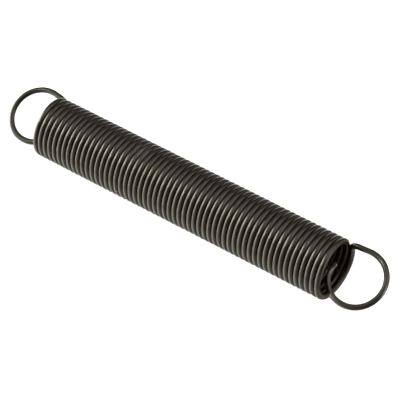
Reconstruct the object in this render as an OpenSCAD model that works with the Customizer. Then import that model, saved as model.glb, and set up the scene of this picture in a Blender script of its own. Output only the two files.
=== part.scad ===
// Extension spring of round drawn wire: a close wound coil with a full loop at each end.
// X is the axis of the coil, Z is up, and the origin is the middle of the coil.
// All lengths are in millimetres and all angles in degrees.

/* [Wire] */
// Diameter of the round wire
wire_d = 1.2; // [0.8:0.1:1.5]

/* [Coil] */
// Diameter of the coil, measured to the middle of the wire
mean_d = 12; // [10:0.5:16]
// Number of turns wound one against the next
turns = 58; // [4:1:70]
// Clearance between neighbouring turns
turn_gap = 0.04; // [0.04:0.02:0.4]

/* [Loops] */
// How far short of the plane of the loops the wire leaves the coil, which sets the sharp bend
lift_off = 14; // [11:1:20]
// How far the circle of the right loop reaches back past the end of the coil
right_sink = 1.45; // [0.8:0.05:2]
// How far the middle of the right loop lies off the axis of the coil
right_rise = 0.45; // [0:0.05:1]
// How far the circle of the left loop reaches back past the end of the coil
left_sink = 1.8; // [0.8:0.05:2]
// How far the middle of the left loop lies off the axis of the coil
left_rise = 0.75; // [0:0.05:1]
// Turn of a loop at its full radius
loop_sweep = 248; // [200:4:252]

/* [Cut ends] */
// Turn of the tighter last stretch, which ends inside the coil
tail_sweep = 50; // [10:5:60]
// How much tighter than the loop that stretch is bent
tail_tuck = 1.9; // [0.5:0.1:2.2]

/* [Rest] */
// Turn of the plane of the loops up from level, as the spring lies
rest_roll = 29; // [0:1:60]

/* [Hidden] */
$fn = 48;

// The wire is drawn at a hundredth of its size and brought up to size at the end. Its stretches then
// meet so closely that they fuse with no step, whatever the sizes.
draw = 1 / 100;
wire = draw * wire_d;
pitch = draw * (wire_d + turn_gap);
coil_r = draw * mean_d / 2;
half_l = turns * pitch / 2;

// A loop is a turn of the coil bent up on end, so it has the radius of the coil
loop_r = coil_r;
tail_r = loop_r - draw * tail_tuck;

// Each half turn is a flat half circle, tipped so that it climbs half a pitch
tip = asin(pitch / (4 * coil_r));

// Where the wire leaves the coil: the way out from the axis, the way along the wire, and the way
// across both. The axis is Z here, the loops lie in the XZ plane, and Z starts at the end of the
// last full turn.
leave_out = [cos(lift_off) * cos(tip), -sin(lift_off), cos(lift_off) * sin(tip)];
leave_along = [sin(lift_off) * cos(tip), cos(lift_off), sin(lift_off) * sin(tip)];
leave_across = [-sin(tip), 0, cos(tip)];

// The sharp bend rounds the corner at which the wire would run through the plane of the loops
leave_point = coil_r * leave_out - [0, 0, pitch / 4];
corner_l = -leave_point.y / leave_along.y;
corner = leave_point + corner_l * leave_along;

// In the plane of the loops: the way along the wire, and the way to the middle of its bend
function plane_along(lean) = [sin(lean), 0, cos(lean)];
function plane_inward(lean) = [-cos(lean), 0, sin(lean)];

// Turn about the wire after which its next bend goes toward a given way
function twist_toward(way, out, across) = atan2(way * across, -way * out);

// A stretch of wire on a circle about Z
module wire_arc(radius, from, to) {
  rotate_extrude(angle = to - from, start = from)
    translate([radius, 0])
      circle(d = wire);
}

// A bend away from X of wire that runs along Y. It is drawn a little long and trimmed square by the
// frame in which the wire goes on.
module wire_bend(radius, turn) {
  translate([-radius, 0, 0]) {
    difference() {
      wire_arc(radius, 0, turn + 6);
      rotate([0, 0, turn])
        translate([radius - wire, 0, -wire])
          cube(2 * wire);
    }
    rotate([0, 0, turn])
      translate([radius, 0, 0])
        children();
  }
}

// A straight stretch along Y
module wire_leg(length) {
  rotate([-90, 0, 0])
    cylinder(d = wire, h = length);
  translate([0, length, 0])
    children();
}

// One end of the wire: the sharp bend, a straight leg, the loop, and the tail inside the coil.
// The leg runs from the corner so that it touches the circle of the loop.
module hook(sink, rise) {
  middle = [rise, 0, loop_r - sink];
  reach = norm(middle - corner);
  lean = atan2(middle.x - corner.x, middle.z - corner.z) + asin(loop_r / reach);
  leg_l = sqrt(reach * reach - loop_r * loop_r) - corner_l;

  bend_twist = twist_toward(plane_along(lean), leave_out, leave_across);
  bend_turn = acos(leave_along * plane_along(lean));
  bend_start_out = cos(bend_twist) * leave_out - sin(bend_twist) * leave_across;
  bend_out = cos(bend_turn) * bend_start_out + sin(bend_turn) * leave_along;
  bend_across = sin(bend_twist) * leave_out + cos(bend_twist) * leave_across;
  loop_twist = twist_toward(plane_inward(lean), bend_out, bend_across);

  rotate([0, bend_twist, 0])
    wire_bend(corner_l / tan(bend_turn / 2), bend_turn)
      rotate([0, loop_twist, 0])
        wire_leg(leg_l)
          wire_bend(loop_r, loop_sweep)
            wire_bend(tail_r, tail_sweep);
}

// Half the coil, counted back from its end. Its last half turn stops short, and the hook goes on
// from there.
module half_coil() {
  for (i = [0 : turns - 1]) {
    rising = i % 2;
    translate([0, 0, half_l - (2 * i + 1) * pitch / 4])
      rotate([0, rising ? tip : -tip, 0])
        if (i == 0) {
          translate([-coil_r, 0, 0])
            rotate([0, 0, 180])
              wire_bend(coil_r, 180 - lift_off)
                children();
        } else {
          wire_arc(coil_r, rising ? 0 : 180, rising ? 180 : 360);
        }
  }
}

// The whole wire: two halves that meet at the middle of the coil, turned half round on each other
module spring() {
  color("dimgray")
    scale(1 / draw)
      rotate([rest_roll, 0, 0])
        rotate([90, 0, 90]) {
          half_coil()
            hook(draw * right_sink, draw * right_rise);
          rotate([180, 0, 0])
            half_coil()
              hook(draw * left_sink, draw * left_rise);
        }
}

spring();
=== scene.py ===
"""An extension spring of round, oiled spring steel wire, lying on a pale floor."""

import math

import bpy
from mathutils import Matrix, Vector


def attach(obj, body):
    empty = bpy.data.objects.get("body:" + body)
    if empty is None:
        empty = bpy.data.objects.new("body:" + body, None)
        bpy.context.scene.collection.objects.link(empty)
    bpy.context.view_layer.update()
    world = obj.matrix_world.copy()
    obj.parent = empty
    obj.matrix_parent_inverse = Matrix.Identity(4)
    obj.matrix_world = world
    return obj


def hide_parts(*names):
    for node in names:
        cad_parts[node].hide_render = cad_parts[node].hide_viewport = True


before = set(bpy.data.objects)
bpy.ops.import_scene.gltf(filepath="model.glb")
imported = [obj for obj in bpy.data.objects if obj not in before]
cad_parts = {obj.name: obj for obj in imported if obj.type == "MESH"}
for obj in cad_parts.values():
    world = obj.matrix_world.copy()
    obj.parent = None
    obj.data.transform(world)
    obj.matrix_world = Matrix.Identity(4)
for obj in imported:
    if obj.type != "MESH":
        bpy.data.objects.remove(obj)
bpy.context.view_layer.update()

# A new Blender scene may hold a cube, which isn't part of the object
bpy.ops.object.select_all(action="DESELECT")
if "Cube" in bpy.data.objects:
    bpy.data.objects.remove(bpy.data.objects["Cube"])


# ---------------------------------------------------------------- camera
# A long lens looks down on the spring from its near right, straight at the middle of the coil,
# and a small shift puts that middle where the picture has it.
look_azimuth = math.radians(35.44)
look_down = math.radians(45.25)
camera_distance = 0.4262
look = Vector((
    -math.sin(look_azimuth) * math.cos(look_down),
    math.cos(look_azimuth) * math.cos(look_down),
    -math.sin(look_down),
))
camera_place = -camera_distance * look
camera_turn = look.to_track_quat("-Z", "Y").to_euler()
bpy.ops.object.camera_add(location=camera_place, rotation=camera_turn)
camera = bpy.context.object
camera.name = "camera"
camera.data.lens = 186.2
camera.data.shift_x = 0.0270
camera.data.shift_y = -0.0097
camera.data.clip_start = 0.01
camera.data.clip_end = 10
bpy.context.scene.camera = camera


# ---------------------------------------------------------------- coil
# The body of the spring: 58 turns of hard drawn steel wire, wound one against the next on a
# mandrel. Here a ring, the section of the wire, is carried round the axis of the coil and along it.
mm = 0.001
# The real turns touch. So the wire is 0.036 mm thicker than the solid's, which is 1.2 mm. That
# leaves 0.004 mm between the turns, and no light shows through.
wire_r = 0.618 * mm
coil_r = 6.0 * mm
pitch = 1.24 * mm
turns = 58
# At each end the wire leaves the coil this much before its last turn is full
lift_off = math.radians(14)
ring_points = 20
steps_per_turn = 56

# Where the wire of the coil starts and ends, as angles round the axis from the middle of the coil
coil_start = -turns * math.pi + lift_off
coil_end = -coil_start
coil_turns = (coil_end - coil_start) / (2 * math.pi)
axis_along = Vector((0, 0, 1))
rise_per_radian = pitch / (2 * math.pi)


def on_coil(angle):
    """The way out from the axis at an angle round it, and the middle of the wire there."""
    out = Vector((math.cos(angle), math.sin(angle), 0))
    return out, coil_r * out + rise_per_radian * angle * axis_along


def section_ring(name, middle, outward, across):
    """The wire's section as a ring of edges. Its first point is the outward one."""
    bpy.ops.object.select_all(action="DESELECT")
    bpy.ops.mesh.primitive_circle_add(
        vertices=ring_points, radius=wire_r, fill_type="NOTHING"
    )
    ring = bpy.context.object
    ring.name = ring.data.name = name
    place = Matrix((outward, across, outward.cross(across))).transposed().to_4x4()
    place.translation = middle
    ring.matrix_world = place @ Matrix.Rotation(-math.pi / 2, 4, "Z")
    bpy.ops.object.transform_apply(location=True, rotation=True, scale=True)
    return ring


def lay_pattern(piece, lengths, runs_back=False):
    """The wire's own pattern map: metres along the wire, and the share of the way round it.

    A piece runs back where it was drawn against the way that the wire runs.
    """
    layer = piece.data.uv_layers.new(name="wire_uv")
    values = [0.0] * (2 * len(piece.data.loops))
    for face in piece.data.polygons:
        points = [piece.data.loops[i].vertex_index % ring_points for i in face.loop_indices]
        wraps = 0 in points and ring_points - 1 in points
        for i, point in zip(face.loop_indices, points):
            ring = min(piece.data.loops[i].vertex_index // ring_points, len(lengths) - 1)
            around = (ring_points if wraps and point == 0 else point) / ring_points
            values[2 * i] = lengths[ring]
            values[2 * i + 1] = 1 - around if runs_back else around
    layer.data.foreach_set("uv", values)


start_out, start_point = on_coil(coil_start)
coil = section_ring("coil", start_point, start_out, axis_along)
# The screw makes as many equal rounds as there are turns, each a little short of a full one
wind = coil.modifiers.new("wind", "SCREW")
wind.axis = "Z"
wind.angle = 2 * math.pi * coil_turns / turns
wind.screw_offset = pitch * coil_turns / turns
wind.iterations = turns
wind.steps = wind.render_steps = steps_per_turn
wind.use_merge_vertices = False
bpy.ops.object.modifier_apply(modifier=wind.name)
coil_length = (coil_end - coil_start) * math.hypot(coil_r, rise_per_radian)
coil_rings = len(coil.data.vertices) // ring_points
lay_pattern(coil, [coil_length * i / (coil_rings - 1) for i in range(coil_rings)])


# ---------------------------------------------------------------- end loops
# At each end the wire is bent up sharply out of the last turn, runs straight for a moment, and
# goes round as a full loop as wide as the coil. Its tighter last stretch ends inside the coil.
half_l = turns * pitch / 2
loop_r = coil_r
loop_sweep = math.radians(248)
tail_r = loop_r - 1.9 * mm
tail_sweep = math.radians(50)
# How far each loop reaches back past the end of the coil, and how far it lies off the axis
right_sink, right_rise = 1.45 * mm, 0.45 * mm
left_sink, left_rise = 1.8 * mm, 0.75 * mm
# About how far one step of a bend turns, in radians
bend_step = 0.1
cut_slant = math.radians(9)
# The edge of a snipped end is dragged over: two steps, each with its height and how far it narrows
cut_edge = ((0.04 * mm, 0.95), (0.02 * mm, 0.88))


def spin_wire(middle, axis, turn):
    """Carries the selected ring round a bend. The spin operator turns the other way."""
    steps = max(2, round(turn / bend_step))
    bpy.ops.mesh.spin(steps=steps, angle=-turn, center=middle, axis=axis, use_auto_merge=False)
    return steps


def end_loop(name, sink, rise):
    """One end of the wire, made in the coil's own frame from the end of its last turn.

    Gives back the piece, and how far along the wire each of its rings lies.
    """
    out, point = on_coil(coil_end)
    along = Vector((-coil_r * out.y, coil_r * out.x, rise_per_radian)).normalized()
    piece = section_ring(name, point, out, axis_along)
    lengths = [0.0]

    def went(steps, length):
        first = lengths[-1]
        lengths.extend(first + length * (i + 1) / steps for i in range(steps))

    # The sharp bend rounds the corner where the wire would run through the plane of the loops.
    # From that corner the leg runs so that it touches the circle of the loop.
    to_corner = -point.y / along.y
    corner = point + to_corner * along
    middle = Vector((rise, 0, half_l + loop_r - sink))
    reach = middle - corner
    lean = math.atan2(reach.x, reach.z) + math.asin(loop_r / reach.length)
    leg = math.sqrt(reach.length_squared - loop_r ** 2) - to_corner
    leg_way = Vector((math.sin(lean), 0, math.cos(lean)))
    turn = along.angle(leg_way)
    bend_r = to_corner / math.tan(turn / 2)
    inward = (leg_way - leg_way.dot(along) * along).normalized()

    bpy.ops.object.mode_set(mode="EDIT")
    bpy.ops.mesh.select_all(action="SELECT")
    went(spin_wire(point + bend_r * inward, along.cross(inward), turn), bend_r * turn)
    bpy.ops.mesh.extrude_region_move(TRANSFORM_OT_translate={"value": leg * leg_way})
    went(1, leg)

    # A spoke runs from the middle of a bend to the wire
    loop_axis = Vector((0, -1, 0))
    spoke = corner + (to_corner + leg) * leg_way - middle
    went(spin_wire(middle, loop_axis, loop_sweep), loop_r * loop_sweep)
    spoke = Matrix.Rotation(loop_sweep, 3, loop_axis) @ spoke
    tail_middle = middle + spoke * (1 - tail_r / loop_r)
    went(spin_wire(tail_middle, loop_axis, tail_sweep), tail_r * tail_sweep)
    spoke = Matrix.Rotation(tail_sweep, 3, loop_axis) @ (spoke * tail_r / loop_r)

    cut_way = loop_axis.cross(spoke).normalized()
    cut_middle = tail_middle + spoke
    bpy.ops.transform.rotate(value=cut_slant, orient_axis="Y", center_override=cut_middle)
    for height, narrowing in cut_edge:
        bpy.ops.mesh.extrude_region_move(TRANSFORM_OT_translate={"value": height * cut_way})
        bpy.ops.transform.resize(value=(narrowing,) * 3, center_override=cut_middle)
        went(1, height)
    bpy.ops.object.mode_set(mode="OBJECT")
    return piece, lengths


# The wire runs from left to right. The left loop is drawn as a right one and turned half round.
right_loop, right_lengths = end_loop("right_loop", right_sink, right_rise)
lay_pattern(right_loop, [coil_length + length for length in right_lengths])
left_loop, left_lengths = end_loop("left_loop", left_sink, left_rise)
lay_pattern(left_loop, [-length for length in left_lengths], runs_back=True)
left_loop.data.transform(Matrix.Rotation(math.pi, 4, "X"))

bpy.ops.object.select_all(action="DESELECT")
for piece in (left_loop, right_loop, coil):
    piece.select_set(True)
bpy.context.view_layer.objects.active = coil
bpy.ops.object.join()
spring_wire = bpy.context.object
spring_wire.name = spring_wire.data.name = "spring_wire"

# The part lies with its coil along X, and the plane of its loops is rolled up from level
rest_roll = math.radians(29)
spring_wire.data.transform(
    Matrix.Rotation(rest_roll, 4, "X")
    @ Matrix.Rotation(math.pi / 2, 4, "Z")
    @ Matrix.Rotation(math.pi / 2, 4, "X")
)

# The three stretches are welded where they meet, and the two open ends get their faces
weld_reach = 0.002 * mm
smooth_below = math.radians(32)
bpy.ops.object.mode_set(mode="EDIT")
bpy.ops.mesh.select_all(action="SELECT")
bpy.ops.mesh.remove_doubles(threshold=weld_reach)
bpy.ops.mesh.select_all(action="DESELECT")
bpy.ops.mesh.select_mode(type="EDGE")
bpy.ops.mesh.select_non_manifold(
    extend=False, use_wire=False, use_boundary=True, use_multi_face=False,
    use_non_contiguous=False, use_verts=False,
)
bpy.ops.mesh.edge_face_add()
bpy.ops.mesh.select_all(action="SELECT")
bpy.ops.mesh.normals_make_consistent(inside=False)
bpy.ops.object.mode_set(mode="OBJECT")
bpy.ops.object.shade_smooth_by_angle(angle=smooth_below)
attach(spring_wire, "root")
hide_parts("spring")


# ---------------------------------------------------------------- skin of the wire
# Hard drawn steel, dark with drawing soap and oxide and wiped with thin oil. Its skin has fine
# lines along the wire from the die, grime with painted shade between the turns and inside the coil,
# and crests that handling has rubbed.
def node(tree, kind, inputs=(), **settings):
    """Adds a node. An input is a plain value, or the output that feeds it."""
    made = tree.nodes.new(kind)
    for name, value in settings.items():
        setattr(made, name, value)
    for name, value in dict(inputs).items():
        if isinstance(value, bpy.types.NodeSocket):
            tree.links.new(value, made.inputs[name])
        else:
            made.inputs[name].default_value = value
    return made


def calc(tree, operation, *values):
    """One step of arithmetic."""
    return node(tree, "ShaderNodeMath", dict(enumerate(values)), operation=operation).outputs[0]


def add_up(tree, base, *layers):
    """Adds layers to a base value. Each is a value and its weight."""
    for value, weight in layers:
        base = calc(tree, "ADD", base, calc(tree, "MULTIPLY", value, weight))
    return base


def fade(tree, value, start, end, low=0.0, high=1.0):
    """Runs softly from low to high as the value goes from start to end."""
    return node(tree, "ShaderNodeMapRange", {0: value, 1: start, 2: end, 3: low, 4: high},
                interpolation_type="SMOOTHSTEP").outputs[0]


def tint(tree, share, first, second):
    """Goes from the first colour to the second as the share goes from 0 to 1."""
    return node(tree, "ShaderNodeMix", {0: share, 6: first, 7: second},
                data_type="RGBA").outputs[2]


def lay_coats(tree, colour, *coats):
    """Lays coats over a colour. Each is where it lies, how much of it there is, and its colour."""
    for where, share, coat in coats:
        colour = tint(tree, calc(tree, "MULTIPLY", where, share), colour, (*coat, 1))
    return colour


def new_effect(name, vectors, numbers, result):
    """Starts an effect that several finishes use: its tree, what it is given, and its result."""
    group = bpy.data.node_groups.new(name, "ShaderNodeTree")
    for kind, titles in (("NodeSocketVector", vectors), ("NodeSocketFloat", numbers)):
        for title in titles:
            group.interface.new_socket(name=title, in_out="INPUT", socket_type=kind)
    group.interface.new_socket(name=result, in_out="OUTPUT", socket_type="NodeSocketFloat")
    given = node(group, "NodeGroupInput").outputs
    return group, given, node(group, "NodeGroupOutput").inputs[result]


def effect(tree, group, **inputs):
    """Puts an effect into a finish, with its own values, and gives back its result."""
    return node(tree, "ShaderNodeGroup", inputs, node_tree=group).outputs[0]


def metal_finish(tree, colour, dull, height):
    """Bare metal. Heights are in thousandths of a millimetre."""
    relief = node(tree, "ShaderNodeBump",
                  {"Strength": 1.0, "Distance": 0.001 * mm, "Height": height})
    shader = tree.nodes["Principled BSDF"]
    shader.inputs["Metallic"].default_value = 1.0
    tree.links.new(colour, shader.inputs["Base Color"])
    tree.links.new(dull, shader.inputs["Roughness"])
    tree.links.new(relief.outputs[0], shader.inputs["Normal"])
    return shader


# Lines that a tool leaves along the first direction. "Fine" is how many there are to the metre,
# and "Short" is their width as a share of their length.
tool_lines, given, result = new_effect("tool_lines", ("Place",), ("Fine", "Short"), "Lines")
stretch = node(tool_lines, "ShaderNodeCombineXYZ",
               {"X": given["Short"], "Y": 1.0, "Z": 1.0}).outputs[0]
drawn_out = node(tool_lines, "ShaderNodeVectorMath", {0: given["Place"], 1: stretch},
                 operation="MULTIPLY").outputs[0]
streaks = node(tool_lines, "ShaderNodeTexNoise", {
    "Vector": drawn_out, "Scale": given["Fine"], "Detail": 3.0, "Roughness": 0.65,
}).outputs[0]
tool_lines.links.new(fade(tool_lines, streaks, 0.3, 0.7), result)

# Soft patches. "Scale" is how many there are to the metre, and "Cover" how much of the surface
# they take.
patches, given, result = new_effect("patches", ("Place",), ("Scale", "Cover"), "Mask")
cloud = node(patches, "ShaderNodeTexNoise", {
    "Vector": given["Place"], "Scale": given["Scale"],
    "Detail": 4.0, "Roughness": 0.55, "Distortion": 0.4,
}).outputs[0]
edge = calc(patches, "MULTIPLY", calc(patches, "SUBTRACT", 0.92, given["Cover"]), 0.75)
past_edge = calc(patches, "SUBTRACT", cloud, edge)
patches.links.new(fade(patches, past_edge, -0.12, 0.12), result)

# One rubbed or dented place of a given size
spot, given, result = new_effect("spot", ("Place", "Middle"), ("Size",), "Mask")
far = node(spot, "ShaderNodeVectorMath", {0: given["Place"], 1: given["Middle"]},
           operation="DISTANCE").outputs["Value"]
spot.links.new(fade(spot, calc(spot, "DIVIDE", far, given["Size"]), 1.0, 0.35), result)

skin = bpy.data.materials.new("oiled_drawn_wire")
skin.use_nodes = True
tree = skin.node_tree
solid_place = node(tree, "ShaderNodeTexCoord").outputs["Object"]

# The wire's own directions: along it, and round it from its outermost line. Outward is 1 on that
# line and -1 on the inside of the coil, and sideways is 1 or -1 where one turn touches the next.
wire_uv = node(tree, "ShaderNodeUVMap", uv_map="wire_uv").outputs[0]
wire_map = node(tree, "ShaderNodeSeparateXYZ", {0: wire_uv})
along, share_round = wire_map.outputs["X"], wire_map.outputs["Y"]
angle_round = calc(tree, "MULTIPLY", share_round, 2 * math.pi)
outward, sideways = calc(tree, "COSINE", angle_round), calc(tree, "SINE", angle_round)
wire_place = node(tree, "ShaderNodeCombineXYZ", {
    "X": along,
    "Y": calc(tree, "MULTIPLY", outward, wire_r),
    "Z": calc(tree, "MULTIPLY", sideways, wire_r),
}).outputs[0]

# Where on the wire: in the coil, on a loop, between two turns, inside the coil, on the crest of a
# turn, near a cut end, and at a sharp bend
past_coil, well_in_coil = 1 * mm, 6 * mm
cut_reach = 0.45 * mm
bend_middle = 1.2 * mm
bend_reach, bend_core = 1.3 * mm, 0.2 * mm
right_cut_at = coil_length + right_lengths[-1]
left_cut_at = -left_lengths[-1]
in_from_left = fade(tree, along, -past_coil, well_in_coil)
in_from_right = fade(tree, along, coil_length + past_coil, coil_length - well_in_coil)
in_coil = calc(tree, "MULTIPLY", in_from_left, in_from_right)
on_loop = fade(tree, in_coil, 1.0, 0.0)
crevice = calc(tree, "MULTIPLY", fade(tree, calc(tree, "ABSOLUTE", sideways), 0.45, 1.0), in_coil)
inside = calc(tree, "MULTIPLY", fade(tree, outward, 0.0, -0.7), in_coil)
crest = calc(tree, "MULTIPLY", fade(tree, outward, 0.72, 1.0), in_coil)
near_cut = calc(tree, "ADD",
                fade(tree, along, right_cut_at - cut_reach, right_cut_at),
                fade(tree, along, left_cut_at + cut_reach, left_cut_at))
bends = [
    fade(tree, calc(tree, "ABSOLUTE", calc(tree, "SUBTRACT", along, middle)), bend_reach, bend_core)
    for middle in (coil_length + bend_middle, -bend_middle)
]
at_bend = calc(tree, "ADD", *bends)

# What lies on it: draw lines, thin oil, rubbed crests, grime with painted shade, and pits
fine_lines = effect(tree, tool_lines, Place=wire_place, Fine=16000.0, Short=0.004)
broad_lines = effect(tree, tool_lines, Place=wire_place, Fine=3000.0, Short=0.015)
wet = effect(tree, patches, Place=solid_place, Scale=110.0, Cover=0.5)
handled = effect(tree, patches, Place=solid_place, Scale=380.0, Cover=0.42)
rubbed = calc(tree, "MULTIPLY", crest, handled)
clots = effect(tree, patches, Place=wire_place, Scale=900.0, Cover=0.55)
# Partly grime in clots and partly painted shade: a dark colour between the turns and, half as
# strong, inside the coil, where shade falls
grime_and_shade = calc(tree, "MULTIPLY",
             add_up(tree, crevice, (inside, 0.5)), add_up(tree, 0.55, (clots, 0.45)))
grains = node(tree, "ShaderNodeTexVoronoi",
              {"Vector": wire_place, "Scale": 2600.0}).outputs["Distance"]
pitted = effect(tree, patches, Place=wire_place, Scale=260.0, Cover=0.35)
pits = calc(tree, "MULTIPLY", fade(tree, grains, 0.16, 0.05), pitted)

# The marks of the real one: a bright speck low on the left, a nick near the right end, and a faint
# scuff over a few turns near the top of the left half
speck_at, speck_size = (-0.01405, -0.00633, -0.00165), 0.26 * mm
nick_at, nick_size = (0.03019, -0.00189, 0.00629), 0.22 * mm
scuff_at, scuff_size = (-0.0117, 0.0002, 0.0061), 2.6 * mm
speck = effect(tree, spot, Place=solid_place, Middle=speck_at, Size=speck_size)
nick = effect(tree, spot, Place=solid_place, Middle=nick_at, Size=nick_size)
scuffed = effect(tree, spot, Place=solid_place, Middle=scuff_at, Size=scuff_size)
scratches = effect(tree, tool_lines, Place=solid_place, Fine=5200.0, Short=0.15)
scuff = calc(tree, "MULTIPLY", calc(tree, "MULTIPLY", scuffed, scratches), 0.35)
marks = calc(tree, "MAXIMUM", calc(tree, "MAXIMUM", speck, nick), scuff)

# The colour drifts between olive and brown from turn to turn. The loops are handled and hooked, so
# their oil is rubbed thin and the steel is greyer there. Inside the coil it is greyer as well,
# because little oil has reached it.
olive, brown = (0.200, 0.194, 0.149, 1), (0.262, 0.217, 0.165, 1)
drifts_to_the_metre = 21.0
drift = node(tree, "ShaderNodeTexNoise", {
    "W": calc(tree, "MULTIPLY", along, drifts_to_the_metre), "Scale": 1.0, "Detail": 2.0,
}, noise_dimensions="1D").outputs[0]
colour = lay_coats(
    tree, tint(tree, fade(tree, drift, 0.36, 0.64), olive, brown),
    (on_loop, 0.8, (0.282, 0.264, 0.252)),
    (inside, 0.8, (0.200, 0.206, 0.180)),
    (broad_lines, 0.5, (0.128, 0.114, 0.078)),
    (fine_lines, 0.25, (0.312, 0.290, 0.250)),
    (wet, 0.25, (0.136, 0.122, 0.088)),
    (rubbed, 0.35, (0.384, 0.364, 0.334)),
    (calc(tree, "ADD", at_bend, near_cut), 0.35, (0.432, 0.408, 0.368)),
    # Painted shade: the dark grime colour laid between the turns and inside the coil
    (grime_and_shade, 0.6, (0.092, 0.064, 0.020)),
    (pits, 1.0, (0.048, 0.035, 0.026)),
    (marks, 1.0, (0.775, 0.737, 0.675)),
)
dull = add_up(
    tree, 0.162,
    (calc(tree, "ADD", fine_lines, broad_lines), 0.05),
    (wet, -0.03),
    (grime_and_shade, 0.28),
    (rubbed, 0.06),
    (calc(tree, "ADD", marks, at_bend), 0.15),
)
height = add_up(
    tree, 0.0, (fine_lines, 0.6), (broad_lines, 1.6), (pits, -9.0), (marks, -18.0)
)
shader = metal_finish(tree, colour, dull, height)
tree.links.new(add_up(tree, 0.20, (wet, 0.12)), shader.inputs["Coat Weight"])
shader.inputs["Coat Roughness"].default_value = 0.14
shader.inputs["Coat IOR"].default_value = 1.46
spring_wire.data.materials.clear()
spring_wire.data.materials.append(skin)


# ---------------------------------------------------------------- cut faces
# The two ends of the wire are snipped. The blade leaves one side of each bright face smooth, with
# fine lines, and the rest breaks off grainy and darker.
wire_mesh = spring_wire.data
pattern = wire_mesh.uv_layers["wire_uv"].data
for face in wire_mesh.polygons:
    # Only the end faces have more than four corners
    if len(face.vertices) > 4:
        face.material_index = 1
        down = face.normal.orthogonal().normalized()
        across = face.normal.cross(down)
        for i in face.loop_indices:
            arm = wire_mesh.vertices[wire_mesh.loops[i].vertex_index].co - face.center
            pattern[i].uv = (arm.dot(across), arm.dot(down))

cut = bpy.data.materials.new("snipped_steel")
cut.use_nodes = True
tree = cut.node_tree
face_place = node(tree, "ShaderNodeUVMap", uv_map="wire_uv").outputs[0]
down_face = node(tree, "ShaderNodeSeparateXYZ", {0: face_place}).outputs["Y"]
blade_lines = effect(tree, tool_lines, Place=face_place, Fine=15000.0, Short=0.05)
grain = effect(tree, patches, Place=face_place, Scale=9000.0, Cover=0.5)
# The cut turns into the break just past the middle of the face, along a ragged edge
ragged = add_up(tree, down_face, (grain, 0.12 * mm))
broken = fade(tree, ragged, 0.02 * mm, 0.14 * mm)
cut_light, cut_dark = (0.52, 0.50, 0.46, 1), (0.36, 0.34, 0.30, 1)
break_dark, break_light = (0.26, 0.24, 0.21, 1), (0.40, 0.38, 0.34, 1)
colour = tint(tree, calc(tree, "MULTIPLY", blade_lines, 0.3), cut_light, cut_dark)
colour = tint(tree, broken, colour, tint(tree, grain, break_dark, break_light))
dull = add_up(tree, 0.26, (blade_lines, 0.08), (broken, 0.3))
height = add_up(tree, 0.0, (blade_lines, 2.0), (calc(tree, "MULTIPLY", grain, broken), 14.0))
metal_finish(tree, colour, dull, height)
wire_mesh.materials.append(cut)


# ---------------------------------------------------------------- floor and light
# A plain pale floor, which its own light makes white, and which isn't seen in the metal. The metal
# is lit by two soft panels and a narrow strip, and by a soft studio all round it, which is
# brightest low on the left and low behind, and dim on the right.
floor_z = -6.6 * mm
floor_size = 6
bpy.ops.object.select_all(action="DESELECT")
bpy.ops.mesh.primitive_plane_add(size=floor_size, location=(0, 0, floor_z))
floor = bpy.context.object
floor.name = "floor"
floor.visible_glossy = False
floor.visible_shadow = False
paper = bpy.data.materials.new("pale_paper")
paper.use_nodes = True
shader = paper.node_tree.nodes["Principled BSDF"]
shader.inputs["Base Color"].default_value = (0.9, 0.9, 0.9, 1)
shader.inputs["Roughness"].default_value = 0.9
floor.data.materials.append(paper)


def soft_panel(name, place, width, height, power):
    """A panel that faces the middle of the coil."""
    bpy.ops.object.light_add(type="AREA", location=place)
    panel = bpy.context.object
    panel.name = name
    panel.data.shape = "RECTANGLE"
    panel.data.size, panel.data.size_y = width, height
    panel.data.energy = power
    panel.rotation_euler = (-Vector(place)).to_track_quat("-Z", "Y").to_euler()


soft_panel("left_panel", (-1.188, -0.166, 0.012), width=0.60, height=1.48, power=8.7)
soft_panel("narrow_strip", (-0.275, -0.330, 0.420), width=0.03, height=0.12, power=0.10)
soft_panel("right_panel", (0.594, 0.083, 0.03), width=0.24, height=0.5, power=0.37)

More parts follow.
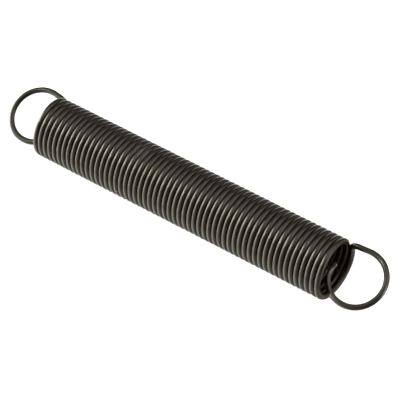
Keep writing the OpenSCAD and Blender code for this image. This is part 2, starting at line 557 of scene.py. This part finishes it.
# The floor's own light comes from where the camera is, so the shadow falls behind the spring. It
# isn't seen in the metal either.
bpy.ops.object.light_add(type="SUN", location=camera_place, rotation=camera_turn)
over_floor = bpy.context.object
over_floor.name = "over_floor"
over_floor.data.energy = 8.5
over_floor.data.angle = math.radians(50)
over_floor.visible_glossy = False

# The soft lights of the studio: which way each lies, the cosine of the angle off that way at which
# it starts and the one at which it is full, and how bright it is
studio_lights = (
    ((-0.85, -0.32, -0.42), 0.38, 1.0, 0.75),
    ((0.10, 0.05, -1.0), 0.3, 0.9, 0.16),
    ((-0.17, -0.95, -0.26), 0.45, 1.0, 0.11),
    ((0.0, 0.0, 1.0), 0.6, 1.0, 0.16),
    ((0.38, 0.32, 0.87), 0.70, 1.0, 0.11),
    ((0.73, 0.38, 0.57), 0.80, 1.0, 0.22),
    ((0.80, 0.45, -0.30), 0.4, 1.0, 0.31),
    ((-0.80, -0.36, 0.48), 0.70, 1.0, 0.31),
    ((-0.53, 0.72, -0.40), 0.84, 0.99, 0.72),
)
# The dim parts of the studio are a little warm. Its soft lights and its backdrop are white.
dim_glow, lit_glow = 0.06, 0.35
warm, white = (1.0, 0.96, 0.80, 1), (1, 1, 1, 1)
world = bpy.data.worlds.new("studio")
world.use_nodes = True
tree = world.node_tree
way = node(tree, "ShaderNodeTexCoord").outputs["Generated"]
glow = dim_glow
for toward, start, full, strength in studio_lights:
    facing = node(tree, "ShaderNodeVectorMath", {0: way, 1: Vector(toward).normalized()},
                  operation="DOT_PRODUCT").outputs["Value"]
    glow = calc(tree, "ADD", glow, fade(tree, facing, start, full, 0.0, strength))
seen = node(tree, "ShaderNodeLightPath").outputs["Is Camera Ray"]
lit = calc(tree, "MAXIMUM", seen, fade(tree, glow, dim_glow, lit_glow))
backdrop = tree.nodes["Background"]
tree.links.new(tint(tree, lit, warm, white), backdrop.inputs["Color"])
tree.links.new(calc(tree, "MAXIMUM", glow, seen), backdrop.inputs["Strength"])
bpy.context.scene.world = world
bpy.context.scene.view_settings.view_transform = "Standard"
